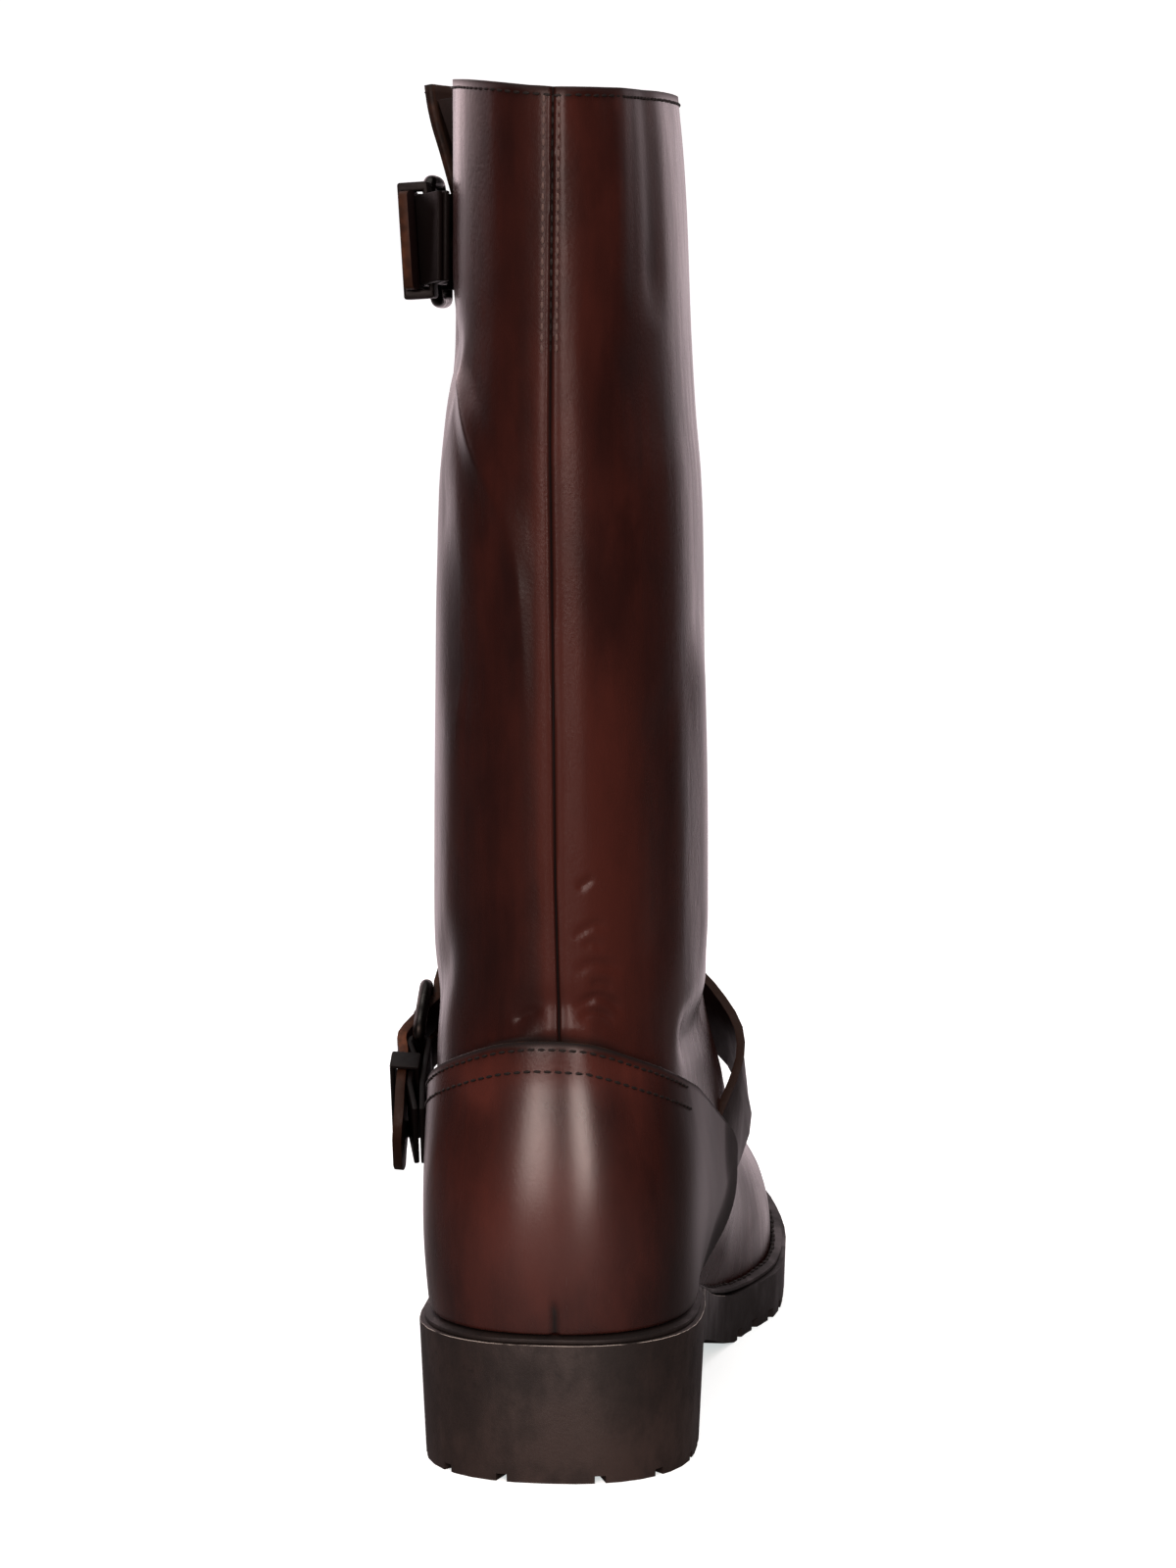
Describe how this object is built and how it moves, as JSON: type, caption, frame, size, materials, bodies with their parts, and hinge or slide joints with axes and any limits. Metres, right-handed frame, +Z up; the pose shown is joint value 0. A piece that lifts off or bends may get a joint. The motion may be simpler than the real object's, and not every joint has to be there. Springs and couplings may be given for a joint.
{
  "type": "calf boot",
  "caption": "Left pull-on calf boot in brown leather on a lugged rubber sole, with a heel counter and buckled straps at the ankle and the collar.",
  "frame": {"origin": "middle of the heel's underside, on the floor", "axes": "+Z up the shaft, +Y towards the toe, +X towards the inner side of the left foot"},
  "size_m": [0.0975, 0.2837, 0.3498],
  "materials": {
    "upper_leather": "waxed and rubbed, soft gloss",
    "counter_leather": "waxed and rubbed, soft gloss",
    "gusset_leather": "thin, dull",
    "strap_leather": "waxed, raw cut edges",
    "insole_board": "plain, dull",
    "sole_rubber": "moulded, slightly mottled",
    "welt_rubber": "rubbed edge",
    "buckle_metal": "dark, worn"
  },
  "bodies": {
    "root": {"sole": "sole_rubber", "welt": "welt_rubber", "insole": "insole_board", "upper": "upper_leather", "gusset": "gusset_leather", "counter": "counter_leather", "ankle_strap": "strap_leather", "ankle_chape": "strap_leather", "ankle_keeper": "strap_leather", "ankle_buckle": "buckle_metal", "ankle_prong": "buckle_metal", "collar_strap": "strap_leather", "collar_chape": "strap_leather", "collar_keeper": "strap_leather", "collar_buckle": "buckle_metal", "collar_prong": "buckle_metal"}
  },
  "joints": []
}
